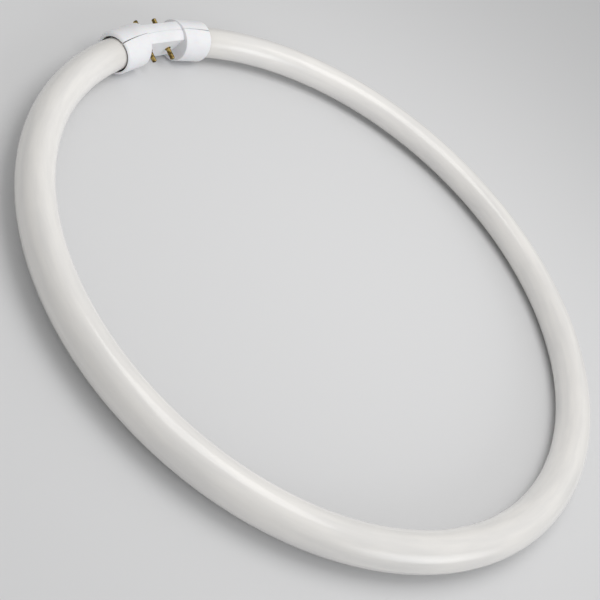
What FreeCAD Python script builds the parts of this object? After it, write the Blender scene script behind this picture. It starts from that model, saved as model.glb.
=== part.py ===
import FreeCAD, Part

import math
import os

# Circular fluorescent tube: a closed glass ring whose two ends meet in a moulded cap.
# Millimetres. The ring lies in the XY plane about the origin, and the cap is on +Y.

# Glass ring
ring_outer_d = 300.0
tube_d = 16.0
glass_end_round = 2.6
flare_mouth_r = 4.6          # hollow of the stem that closes each end
flare_root_r = 2.9
flare_depth = 5.5
flare_round = 0.6
stem_margin = 2.5            # the tube stays straight this far past the stem
exhaust_r = 1.5              # sealed stub of the tube that emptied the lamp
exhaust_out = 0.9

# Cap: two straight sleeves at an angle, with a flat-sided waist between them
cap_reach = 31.6             # along a sleeve's axis, from the corner to its mouth
bore_clearance = 1.2
mouth_wall = 1.35
shoulder_wall = 1.4
lip_round = 2.2              # outside the mouth
lip_depth = 2.4              # lip round the tube at each mouth
lip_clearance = 0.9          # between the lip and the tube
shoulder_round = 0.5
recess_half = 12.5           # from the cap's middle to the wall at each end of its waist
wall = 1.2
waist_step = 1.3             # the waist's radius is this much under the shoulders'
waist_half = 5.4             # from the waist's middle to each flat side
waist_drop = 0.8             # the waist's middle lies this far inside the corner
waist_round = 0.5            # edges of the flat sides
cap_lift = 0.5               # the cap sits this far outwards of the tube's ends
cap_twist = 17.0             # turn of the cap about the tube, in degrees
glass_clearance = 0.8        # between the glass's ends and the recess walls

# Grip rings inside the sleeves, and the parting line between the two halves
grip_places = (2.9, 6.1)     # along a sleeve's axis, past the glass's end
grip_width = 1.6
grip_clearance = 0.15
seam_gap_middle = 0.05
seam_gap_mouth = 0.65
tongue_half = 9.0            # along the waist, from its middle
tongue_lap = 1.6
tongue_wall = 0.8
tongue_clearance = 0.1

# Contact pins and lead wires
pin_d = 2.35
pin_spacing = 13.0
pin_tip = 11.6               # from the waist's middle to a pin's tip
pin_tip_round = 0.45
pin_bore_r = 0.6
pin_root_r = 1.6             # wider root, held in the cap's wall
pin_step = 0.3               # the root stands this far out of the flat side
pin_fit = 0.03
pin_boss_r = 2.6             # round the root, inside the cap
pin_boss = 0.9
pin_flange_r = 2.0
pin_flange = 0.5
crimp_r = 1.1
crimp_depth = 0.22
crimp_back = 2.6             # from the pin's tip
lead_r = 0.3
lead_offset = 2.2            # from the tube's axis to each lead, at the stem
lead_raise = 0.6             # both leads leave the stem this far outwards of the tube's axis
lead_bend_r = 0.7
lead_part = 0.6              # keeps the two leads of one end apart in the waist
lead_short = 0.5             # a lead's end stays this far inside the pin's tip

# Values that follow from the sizes above
ring_r = (ring_outer_d - tube_d) / 2
tube_r = tube_d / 2
glass_stop = recess_half + wall + glass_clearance
straight_start = glass_stop + flare_depth + stem_margin
slope = math.atan(straight_start / ring_r)
end_angle = math.degrees(slope)
corner_y = ring_r / math.cos(slope)
glass_end_gap = (glass_stop + tube_r * math.sin(slope)) / math.cos(slope)
bore_r = tube_r + bore_clearance
mouth_r = bore_r + mouth_wall
shoulder_r = bore_r + shoulder_wall
waist_r = shoulder_r - waist_step
pin_r = pin_d / 2
waist_cavity = waist_half - wall
boss_face = waist_cavity - pin_boss
mouth_angle = math.degrees(math.asin(cap_reach * math.cos(slope) / ring_r))
pivot = (recess_half + cap_reach) / 2 * math.sin(slope)

X = FreeCAD.Vector(1, 0, 0)
Y = FreeCAD.Vector(0, 1, 0)
Z = FreeCAD.Vector(0, 0, 1)
ORIGIN = FreeCAD.Vector(0, 0, 0)


def bent_path(corners, closed):
    """Lines through (point, radius) corners, each corner turned on its own radius."""
    count = len(corners)
    turns = []
    for i, (here, radius) in enumerate(corners):
        loose_end = not closed and i in (0, count - 1)
        if loose_end or radius == 0:
            turns.append((here, None, here))
            continue
        back = (corners[i - 1][0] - here).normalize()
        on = (corners[(i + 1) % count][0] - here).normalize()
        half = back.getAngle(on) / 2
        reach = radius / math.tan(half)
        middle = here + (back + on).normalize() * (radius / math.sin(half) - radius)
        turns.append((here + back * reach, middle, here + on * reach))
    edges = []
    for i in range(count if closed else count - 1):
        leaving = turns[i][2]
        entry, middle, leave = turns[(i + 1) % count]
        if (entry - leaving).Length > 1e-6:
            edges.append(Part.makeLine(leaving, entry))
        if middle is not None:
            edges.append(Part.Arc(entry, middle, leave).toShape())
    return Part.Wire(edges)


def turned(profile):
    """Solid of revolution about X from (along, radius, corner rounding) points."""
    corners = [(FreeCAD.Vector(along, radius, 0), rounding) for along, radius, rounding in profile]
    face = Part.Face(bent_path(corners, True))
    return face.revolve(ORIGIN, X, 360)


def rod(radius, start, end, axis):
    """Round bar along an axis, between two distances from the origin."""
    return Part.makeCylinder(radius, end - start, axis * start, axis)


def block(low, high):
    """Box between two corners."""
    size = [h - l for l, h in zip(low, high)]
    return Part.makeBox(size[0], size[1], size[2], FreeCAD.Vector(*low))


def along_sleeve(side):
    """Placement that lays the X axis along a tube end, outwards from the corner."""
    angle = -end_angle if side > 0 else 180 + end_angle
    return FreeCAD.Placement(ORIGIN, FreeCAD.Rotation(Z, angle))


def at_mouth(side):
    """Placement that lays the X axis along the curved tube, outwards from where it leaves the cap."""
    centre = FreeCAD.Rotation(Z, -side * mouth_angle).multVec(Y * ring_r)
    angle = -mouth_angle if side > 0 else 180 + mouth_angle
    return FreeCAD.Placement(centre, FreeCAD.Rotation(Z, angle))


def at_corner(shape):
    """Moves a shape from the corner's own frame to the ring's frame."""
    shape.translate(Y * corner_y)
    return shape


def seat_cap(shape):
    """Lifts and turns a cap shape, drawn about the corner, to where the cap sits."""
    shape.rotate(Y * -pivot, X, cap_twist)
    shape.translate(Y * (corner_y + cap_lift))
    return shape


def seated_point(point):
    """The same move as seat_cap, for one point."""
    mark = seat_cap(Part.Vertex(point))
    return mark.Point


# Glass ring, with a hollow stem and a sealed stub at each end
def glass_end(side):
    end = glass_end_gap
    shape = turned([
        (straight_start, 0, 0),
        (straight_start, tube_r, 0),
        (end, tube_r, glass_end_round),
        (end, flare_mouth_r, flare_round),
        (end + flare_depth, flare_root_r, 0),
        (end + flare_depth, exhaust_r, 0),
        (end - exhaust_out, exhaust_r, exhaust_r * 0.8),
        (end - exhaust_out, 0, 0),
    ])
    shape.Placement = along_sleeve(side)
    return at_corner(shape)


def glass_tube():
    section = Part.Face(Part.Wire(Part.makeCircle(tube_r, X * ring_r, Y)))
    arc = section.revolve(ORIGIN, Z, 360 - 2 * end_angle)
    arc.rotate(ORIGIN, Z, 90 + end_angle)
    return arc.fuse([glass_end(-1), glass_end(1)]).removeSplitter()


# Cap, drawn whole about the corner and then parted into an inner and an outer half
def beyond(side, distance):
    """Room on one side of the cap's middle, past a wall square to the cap."""
    size = 2 * cap_reach
    room = block((distance, -size, -size), (distance + size, size, size))
    if side < 0:
        room.rotate(ORIGIN, Z, 180)
    return room


def sleeve_body(side):
    shape = turned([
        (0, 0, 0),
        (0, shoulder_r, 0),
        (cap_reach, mouth_r, lip_round),
        (cap_reach, 0, 0),
    ])
    shape.Placement = along_sleeve(side)
    shape = shape.common(beyond(side, recess_half))
    rim = [edge for edge in shape.Edges if abs(abs(edge.CenterOfMass.x) - recess_half) < 1e-4]
    return shape.makeFillet(shoulder_round, rim)


def sleeve_bore(side):
    shape = rod(bore_r, 0, cap_reach - lip_depth, X)
    shape.Placement = along_sleeve(side)
    return shape.common(beyond(side, recess_half + wall))


def waist_bar(radius, half, length):
    """Round bar with two flat sides, across the corner."""
    bar = rod(radius, -length, length, X)
    bar = bar.common(block((-length, -half, -radius), (length, half, radius)))
    bar.translate(Y * -waist_drop)
    return bar


def waist_body():
    """The waist's outside, with its long edges rounded, run on into both recess walls."""
    length = recess_half + wall / 2
    bar = waist_bar(waist_r, waist_half, length)
    long_edges = [edge for edge in bar.Edges if edge.BoundBox.XLength > length]
    sides = [edge for edge in long_edges if abs(abs(edge.CenterOfMass.y + waist_drop) - waist_half) < 1e-4]
    return bar.makeFillet(waist_round, sides)


def at_pins(make):
    """One shape for each of the four pin places, made along +Y from the waist's middle."""
    shapes = []
    for x in (-pin_spacing / 2, pin_spacing / 2):
        for angle in (0, 180):
            shape = make()
            shape.rotate(ORIGIN, Z, angle)
            shape.translate(FreeCAD.Vector(x, -waist_drop, 0))
            shapes.append(shape)
    return shapes


def pin_boss_shape():
    return rod(pin_boss_r, boss_face, waist_half - wall / 2, Y)


def pin_hole():
    return rod(pin_root_r + pin_fit, boss_face - wall, waist_half + wall, Y)


def grip_ring(side, place):
    """Ring inside a sleeve, left full so that the seated tube can shape its bore."""
    ring = turned([
        (place, 0, 0),
        (place, bore_r + wall / 2, 0),
        (place + grip_width, bore_r + wall / 2, 0),
        (place + grip_width, 0, 0),
    ])
    ring.Placement = along_sleeve(side)
    return ring


def tube_room(side):
    """Space for the tube: its straight end inside the grip rings, and its curve inside the mouth's lip."""
    end = rod(tube_r + grip_clearance, glass_end_gap - wall, cap_reach - lip_depth, X)
    end.Placement = along_sleeve(side)
    lip = rod(tube_r + lip_clearance, -2 * lip_depth, 2 * lip_depth, X)
    lip.Placement = at_mouth(side)
    return [at_corner(end), lip]


def whole_cap():
    shell = waist_body().fuse([sleeve_body(-1), sleeve_body(1)])
    shell = shell.cut([sleeve_bore(-1), sleeve_bore(1)])
    shell = shell.cut(waist_bar(waist_r - wall, waist_cavity, recess_half + 2 * wall))
    shell = shell.fuse(at_pins(pin_boss_shape))
    shell = shell.cut(at_pins(pin_hole))
    rings = [grip_ring(side, glass_end_gap + place) for side in (-1, 1) for place in grip_places]
    shell = seat_cap(shell.fuse(rings))
    return shell.cut(tube_room(-1) + tube_room(1)).removeSplitter()


def outer_room(set_back):
    """Room outside the curved parting line, set back by a share of its gap, which opens to the mouths."""
    middle = set_back * seam_gap_middle - waist_drop
    mouth_x = cap_reach * math.cos(slope)
    mouth_y = set_back * seam_gap_mouth - cap_reach * math.sin(slope)
    # the arc through both mouths and the middle is carried on past the mouths
    rise = middle - mouth_y
    radius = (mouth_x ** 2 + rise ** 2) / (2 * rise)
    run = mouth_x + shoulder_r
    end_y = middle - radius + math.sqrt(radius ** 2 - run ** 2)
    height = 2 * shoulder_r
    left = FreeCAD.Vector(-run, end_y, -height)
    right = FreeCAD.Vector(run, end_y, -height)
    far_right = FreeCAD.Vector(run, height, -height)
    far_left = FreeCAD.Vector(-run, height, -height)
    outline = Part.Wire([
        Part.Arc(left, FreeCAD.Vector(0, middle, -height), right).toShape(),
        Part.makeLine(right, far_right),
        Part.makeLine(far_right, far_left),
        Part.makeLine(far_left, left),
    ])
    return seat_cap(Part.Face(outline).extrude(Z * (2 * height)))


def seam_tongue():
    """Two strips in the waist that carry the inner half's wall behind the outer half's."""
    outside = waist_r - wall - tongue_clearance
    strip = rod(outside, -tongue_half, tongue_half, X).cut(
        rod(outside - tongue_wall, -tongue_half, tongue_half, X))
    root = rod(waist_r - wall / 2, -tongue_half, tongue_half, X).cut(
        rod(outside - tongue_wall, -tongue_half, tongue_half, X))
    reach = waist_cavity - tongue_clearance
    lap = block((-tongue_half, -reach, -waist_r), (tongue_half, tongue_lap, waist_r))
    foot = block((-tongue_half, -reach, -waist_r), (tongue_half, -tongue_lap / 2, waist_r))
    tongue = strip.common(lap).fuse(root.common(foot))
    tongue.translate(Y * -waist_drop)
    return seat_cap(tongue)


def cap_outer_half(cap):
    return cap.common(outer_room(0.5))


def cap_inner_half(cap):
    return cap.cut(outer_room(-0.5)).fuse(seam_tongue()).removeSplitter()


# Contact pin: hollow, flanged inside the cap, rounded and crimped near its tip
def contact_pin():
    shank = pin_r
    inner = boss_face - pin_flange
    body = turned([
        (inner, pin_bore_r, 0),
        (inner, pin_flange_r, 0),
        (boss_face - pin_fit, pin_flange_r, 0),
        (boss_face - pin_fit, pin_root_r, 0),
        (waist_half + pin_step, pin_root_r, 0),
        (waist_half + pin_step, shank, 0),
        (pin_tip, shank, pin_tip_round),
        (pin_tip, pin_bore_r, 0),
    ])
    for side in (-1, 1):
        centre = FreeCAD.Vector(pin_tip - crimp_back, 0, side * (shank + crimp_r - crimp_depth))
        body = body.cut(Part.makeSphere(crimp_r, centre))
    # turned along X with its crimps on Z, then laid along +Y with its crimps on X
    body.rotate(ORIGIN, X, 90)
    body.rotate(ORIGIN, Z, 90)
    return body


# Lead wire: from the stem of one tube end, bent across the waist, into a pin's bore
def lead_wire(side, outwards):
    along = along_sleeve(side).multVec(X)
    cap_up = FreeCAD.Rotation(X, cap_twist).multVec(Z)
    across = (cap_up - along * along.dot(cap_up)).normalize()
    raised = Z.cross(along) * (side * lead_raise)
    lane = Y * corner_y + raised - across * (outwards * lead_offset)
    stem = lane + along * (glass_end_gap + flare_depth)
    clear = lane + along * (recess_half - wall)
    x = side * pin_spacing / 2
    turn = seated_point(FreeCAD.Vector(x, outwards * lead_part - waist_drop, 0))
    tip = seated_point(FreeCAD.Vector(x, outwards * (pin_tip - lead_short) - waist_drop, 0))
    path = bent_path([(stem, 0), (clear, lead_bend_r), (turn, lead_bend_r), (tip, 0)], False)
    section = Part.Wire(Part.makeCircle(lead_r, stem, clear - stem))
    return path.makePipeShell([section], True, False)


def main():
    os.makedirs("parts", exist_ok=True)
    cap = whole_cap()
    nodes = {
        "glass_tube": glass_tube(),
        "cap_inner_half": cap_inner_half(cap),
        "cap_outer_half": cap_outer_half(cap),
    }
    pins = [seat_cap(pin) for pin in at_pins(contact_pin)]
    names = ("outer_left", "inner_left", "outer_right", "inner_right")
    for name, pin in zip(names, pins):
        nodes["pin_" + name] = pin
        side = 1 if name.endswith("right") else -1
        outwards = 1 if name.startswith("outer") else -1
        nodes["lead_" + name] = lead_wire(side, outwards)
    for name, shape in nodes.items():
        shape.exportStep("parts/" + name + ".step")


main()
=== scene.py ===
import math

import bmesh
import bpy
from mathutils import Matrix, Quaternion, Vector


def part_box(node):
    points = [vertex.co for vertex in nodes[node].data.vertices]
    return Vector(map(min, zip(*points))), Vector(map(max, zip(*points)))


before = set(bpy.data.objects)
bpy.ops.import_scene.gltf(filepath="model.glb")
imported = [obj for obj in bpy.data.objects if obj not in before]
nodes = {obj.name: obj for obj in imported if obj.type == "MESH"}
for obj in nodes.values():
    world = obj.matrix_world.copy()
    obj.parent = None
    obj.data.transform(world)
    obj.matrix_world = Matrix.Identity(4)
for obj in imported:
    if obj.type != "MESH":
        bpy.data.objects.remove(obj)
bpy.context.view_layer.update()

# Circular fluorescent tube, lying on a pale studio floor. Metres, in the part's own frame:
# the ring lies in the XY plane about the origin, and the cap is on +Y.

CAP_NODES = ("cap_inner_half", "cap_outer_half")
PIN_NODES = [name for name in nodes if name.startswith("pin_")]
LEAD_NODES = [name for name in nodes if name.startswith("lead_")]

# Ring sizes: the tube's outer edge on the side opposite the cap comes from the frame
TUBE_R = 0.008
RING_R = -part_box("glass_tube")[0].y - TUBE_R
RING_MIDDLE = Vector((0.0, 0.0, 0.0))
CAP_TWIST = math.radians(17.0)

# Camera, as the photograph sees the ring
CAMERA_PLACE = Vector((-0.33309, -0.08530, 0.25436))
CAMERA_AIM = Vector((-0.03865, 0.02187, 0.0))
CAMERA_ROLL = math.radians(38.14)
CAMERA_LENS = 54.79
CAMERA_SENSOR = 36.0
CAMERA_SHIFT = (0.0833, -0.1)
CAMERA_NEAR = 0.01

# Colours, linear
COAT_WHITE = (0.83, 0.815, 0.79, 1.0)
COAT_GREY = (0.76, 0.75, 0.735, 1.0)
COAT_END = (0.62, 0.60, 0.565, 1.0)
PLASTIC_WHITE = (0.83, 0.835, 0.855, 1.0)
PLASTIC_DULL = (0.78, 0.785, 0.81, 1.0)
BRASS_BRIGHT = (0.62, 0.45, 0.15, 1.0)
BRASS_DULL = (0.085, 0.058, 0.019, 1.0)
WIRE_BRIGHT = (0.60, 0.57, 0.53, 1.0)
WIRE_DULL = (0.40, 0.36, 0.32, 1.0)
FLOOR_PALE = (0.68, 0.685, 0.695, 1.0)
SURROUND_SEEN = (0.365, 0.367, 0.37, 1.0)
SURROUND_LIGHT = (1.0, 0.995, 0.985, 1.0)
SURROUND_STRENGTH = 0.54

# Powder coat: streaks are drawn out along the tube, and the ends grey between two angles,
# measured along the ring from the side opposite the cap
STREAK_DRAW = 0.12
STREAK_SHARE = 0.55
COAT_END_ANGLES = (2.74, 2.98)

# Floor
FLOOR_RADIUS = 6.0
FLOOR_SIDES = 96
FLOOR_CLEARANCE = 0.00005


class Shader:
    """A node material with one principled shader, and short calls for the nodes that feed it."""

    def __init__(self, name, **values):
        self.material = bpy.data.materials.new(name)
        self.material.use_nodes = True
        self.tree = self.material.node_tree
        self.principled = self.tree.nodes["Principled BSDF"]
        # plain values for the shader's own sockets, named with _ for a space
        for key, value in values.items():
            self.principled.inputs[key.replace("_", " ")].default_value = value

    def add(self, kind, inputs, **settings):
        """A new node: each input is an output to link, or a plain value."""
        node = self.tree.nodes.new(kind)
        for key, value in settings.items():
            setattr(node, key, value)
        for key, value in inputs.items():
            self.feed(node.inputs[key], value)
        return node

    def feed(self, socket, value):
        if isinstance(value, bpy.types.NodeSocket):
            self.tree.links.new(value, socket)
        else:
            socket.default_value = value

    def point(self):
        """The point on the object, in metres."""
        return self.add("ShaderNodeTexCoord", {}).outputs["Object"]

    def math(self, operation, *values):
        return self.add("ShaderNodeMath", dict(enumerate(values)), operation=operation).outputs[0]

    def noise(self, vector, scale, detail):
        inputs = {"Vector": vector, "Scale": scale, "Detail": detail}
        return self.add("ShaderNodeTexNoise", inputs).outputs["Fac"]

    def spread(self, value, between, to):
        """Maps one range onto another, smoothly and clamped."""
        inputs = dict(enumerate((value, *between, *to)))
        return self.add("ShaderNodeMapRange", inputs, interpolation_type="SMOOTHSTEP").outputs["Result"]

    def mix(self, factor, first, second):
        """Blends two colours."""
        node = self.add("ShaderNodeMix", {"Factor": factor}, data_type="RGBA")
        colours = [socket for socket in node.inputs if socket.type == "RGBA"]
        self.feed(colours[0], first)
        self.feed(colours[1], second)
        return [socket for socket in node.outputs if socket.type == "RGBA"][0]

    def stretched(self, vector, turn, scale):
        """The same point, turned and then stretched along each axis."""
        inputs = {"Vector": vector, "Rotation": turn, "Scale": scale}
        return self.add("ShaderNodeMapping", inputs).outputs["Vector"]

    def bump(self, height, distance, strength):
        inputs = {"Height": height, "Distance": distance, "Strength": strength}
        self.feed(self.principled.inputs["Normal"], self.add("ShaderNodeBump", inputs).outputs["Normal"])

    def colour(self, value):
        self.feed(self.principled.inputs["Base Color"], value)

    def rough(self, value):
        self.feed(self.principled.inputs["Roughness"], value)


def ring_point(shader):
    """The point unrolled along the ring: (length along it, out from the ring, up), with the length
    scaled by STREAK_DRAW. Also the angle along the ring from the side opposite the cap, which is 0
    there and pi in the cap."""
    axes = shader.add("ShaderNodeSeparateXYZ", {"Vector": shader.point()}).outputs
    back_x = shader.math("MULTIPLY", axes["X"], -1.0)
    back_y = shader.math("MULTIPLY", axes["Y"], -1.0)
    angle = shader.math("ARCTAN2", back_x, back_y)
    x_squared = shader.math("MULTIPLY", axes["X"], axes["X"])
    y_squared = shader.math("MULTIPLY", axes["Y"], axes["Y"])
    from_middle = shader.math("SQRT", shader.math("ADD", x_squared, y_squared))
    outwards = shader.math("SUBTRACT", from_middle, RING_R)
    along = shader.math("MULTIPLY", angle, RING_R * STREAK_DRAW)
    vector = shader.add("ShaderNodeCombineXYZ", {"X": along, "Y": outwards, "Z": axes["Z"]}).outputs["Vector"]
    return vector, shader.math("ABSOLUTE", angle)


def coated_glass():
    """Clear glass over a white powder coat, which runs in faint streaks along the tube
    and greys at its ends."""
    shader = Shader("coated_glass", Coat_Weight=1.0, Coat_Roughness=0.14, Coat_IOR=1.5,
                    Specular_IOR_Level=0.2)
    streak, angle = ring_point(shader)
    runs = shader.noise(streak, scale=320.0, detail=3.0)
    cloud = shader.noise(shader.point(), scale=26.0, detail=3.0)
    powder = shader.noise(shader.point(), scale=1500.0, detail=2.0)
    runs_part = shader.math("MULTIPLY", runs, STREAK_SHARE)
    cloud_part = shader.math("MULTIPLY", cloud, 1.0 - STREAK_SHARE)
    tone = shader.math("ADD", runs_part, cloud_part)
    coat = shader.mix(shader.spread(tone, between=(0.36, 0.66), to=(0.0, 1.0)), COAT_WHITE, COAT_GREY)
    speckle = shader.spread(powder, between=(0.62, 0.80), to=(0.0, 0.18))
    coat = shader.mix(speckle, coat, COAT_GREY)
    # the last centimetres before the cap, with an uneven front
    uneven = shader.spread(cloud, between=(0.3, 0.7), to=(-0.03, 0.03))
    greying = shader.spread(shader.math("ADD", angle, uneven), between=COAT_END_ANGLES, to=(0.0, 0.55))
    shader.colour(shader.mix(greying, coat, COAT_END))
    shader.rough(shader.spread(cloud, between=(0.3, 0.7), to=(0.42, 0.55)))
    shader.bump(shader.noise(streak, scale=90.0, detail=2.0), distance=0.0004, strength=0.10)
    return shader.material


def cap_plastic():
    """Satin white moulding with a fine grain and a slightly uneven tone."""
    shader = Shader("cap_plastic", Specular_IOR_Level=0.45, Subsurface_Weight=0.08, Subsurface_Scale=0.002)
    cloud = shader.noise(shader.point(), scale=85.0, detail=3.0)
    grain = shader.noise(shader.point(), scale=2600.0, detail=3.0)
    dulling = shader.spread(cloud, between=(0.38, 0.72), to=(0.0, 0.8))
    shader.colour(shader.mix(dulling, PLASTIC_WHITE, PLASTIC_DULL))
    shader.rough(shader.spread(grain, between=(0.3, 0.7), to=(0.34, 0.46)))
    shader.bump(grain, distance=0.00008, strength=0.25)
    return shader.material


def pin_brass():
    """Drawn brass, dulled in patches, with fine rings left by turning."""
    shader = Shader("pin_brass", Metallic=1.0)
    tarnish = shader.noise(shader.point(), scale=420.0, detail=5.0)
    along_pin = shader.stretched(shader.point(), turn=(-CAP_TWIST, 0.0, 0.0), scale=(0.02, 1.0, 0.02))
    rings = shader.noise(along_pin, scale=5200.0, detail=2.0)
    dulling = shader.spread(tarnish, between=(0.36, 0.64), to=(0.0, 1.0))
    shader.colour(shader.mix(dulling, BRASS_BRIGHT, BRASS_DULL))
    shader.rough(shader.spread(tarnish, between=(0.3, 0.7), to=(0.16, 0.34)))
    shader.bump(rings, distance=0.00005, strength=0.35)
    return shader.material


def lead_wire():
    """Bare drawn wire, unevenly dulled."""
    shader = Shader("lead_wire", Metallic=1.0)
    tarnish = shader.noise(shader.point(), scale=600.0, detail=4.0)
    dulling = shader.spread(tarnish, between=(0.35, 0.65), to=(0.0, 1.0))
    shader.colour(shader.mix(dulling, WIRE_BRIGHT, WIRE_DULL))
    shader.rough(shader.spread(tarnish, between=(0.3, 0.7), to=(0.25, 0.45)))
    return shader.material


def dress(names, material):
    """Puts a material on the slots of the frame's own nodes."""
    for name in names:
        for slot in nodes[name].material_slots:
            slot.material = material


def lay_floor():
    """Wide plain floor under the lamp as it rests: on the cap, which is thicker than the tube,
    and on the side of the ring opposite the cap."""
    corners = [vertex.co for name in CAP_NODES for vertex in nodes[name].data.vertices]
    cap_low = min(corners, key=lambda corner: corner.z)
    tube_low = Vector((0.0, -RING_R, -TUBE_R))
    lean = math.atan2(cap_low.z - tube_low.z, cap_low.y - tube_low.y)
    mesh = bpy.data.meshes.new("floor")
    shape = bmesh.new()
    bmesh.ops.create_circle(shape, cap_ends=True, segments=FLOOR_SIDES, radius=FLOOR_RADIUS)
    shape.to_mesh(mesh)
    shape.free()
    floor = bpy.data.objects.new("floor", mesh)
    floor.location = tube_low - Vector((0.0, 0.0, FLOOR_CLEARANCE))
    floor.rotation_euler = (lean, 0.0, 0.0)
    bpy.context.scene.collection.objects.link(floor)
    shader = Shader("floor_pale", Base_Color=FLOOR_PALE, Roughness=0.9, Specular_IOR_Level=0.0)
    floor.data.materials.append(shader.material)


def area_light(name, place, size, power, colour, spread=math.pi):
    """A soft lamp that looks at the middle of the ring."""
    lamp = bpy.data.lights.new(name, "AREA")
    lamp.shape = "RECTANGLE"
    lamp.size, lamp.size_y = size
    lamp.energy = power
    lamp.spread = spread
    lamp.color = colour
    holder = bpy.data.objects.new(name, lamp)
    holder.location = place
    holder.rotation_euler = (RING_MIDDLE - place).to_track_quat("-Z", "Y").to_euler()
    bpy.context.scene.collection.objects.link(holder)


def light_surround():
    """A pale surround that lights evenly, and looks like the floor's far edge where it is seen."""
    world = bpy.data.worlds.new("surround")
    world.use_nodes = True
    tree = world.node_tree
    lit = tree.nodes["Background"]
    lit.inputs["Color"].default_value = SURROUND_LIGHT
    lit.inputs["Strength"].default_value = SURROUND_STRENGTH
    seen = tree.nodes.new("ShaderNodeBackground")
    seen.inputs["Color"].default_value = SURROUND_SEEN
    seen.inputs["Strength"].default_value = 1.0
    rays = tree.nodes.new("ShaderNodeLightPath")
    blend = tree.nodes.new("ShaderNodeMixShader")
    # gloss and glass show the same surround as the camera
    shown = rays.outputs["Is Camera Ray"]
    for kind in ("Is Glossy Ray", "Is Transmission Ray"):
        either = tree.nodes.new("ShaderNodeMath")
        either.operation = "MAXIMUM"
        tree.links.new(shown, either.inputs[0])
        tree.links.new(rays.outputs[kind], either.inputs[1])
        shown = either.outputs["Value"]
    tree.links.new(shown, blend.inputs["Fac"])
    tree.links.new(lit.outputs["Background"], blend.inputs[1])
    tree.links.new(seen.outputs["Background"], blend.inputs[2])
    tree.links.new(blend.outputs["Shader"], tree.nodes["World Output"].inputs["Surface"])
    bpy.context.scene.world = world


def light_studio():
    """Soft light from beyond the ring and from above its middle, a wide weak beam from the side
    opposite the cap, and a pale surround."""
    area_light("key", Vector((0.7, -0.1, 1.1)), size=(1.8, 1.6), power=2.0, colour=(1.0, 0.985, 0.96))
    area_light("top", Vector((0.03, -0.03, 0.40)), size=(0.3, 0.3), power=0.7, colour=(1.0, 0.99, 0.98))
    area_light("fill", Vector((0.4, -2.4, 0.95)), size=(2.2, 1.4), power=2.4, colour=(0.97, 0.98, 1.0),
               spread=math.radians(50.0))
    light_surround()


def set_camera():
    camera = bpy.data.cameras.new("camera")
    camera.lens = CAMERA_LENS
    camera.sensor_width = CAMERA_SENSOR
    camera.shift_x, camera.shift_y = CAMERA_SHIFT
    camera.clip_start = CAMERA_NEAR
    holder = bpy.data.objects.new("camera", camera)
    holder.location = CAMERA_PLACE
    level = (CAMERA_AIM - CAMERA_PLACE).to_track_quat("-Z", "Y")
    holder.rotation_mode = "QUATERNION"
    holder.rotation_quaternion = level @ Quaternion((0.0, 0.0, 1.0), CAMERA_ROLL)
    bpy.context.scene.collection.objects.link(holder)
    bpy.context.scene.camera = holder


dress(["glass_tube"], coated_glass())
dress(CAP_NODES, cap_plastic())
dress(PIN_NODES, pin_brass())
dress(LEAD_NODES, lead_wire())
lay_floor()
light_studio()
set_camera()
bpy.context.scene.view_settings.view_transform = "Standard"
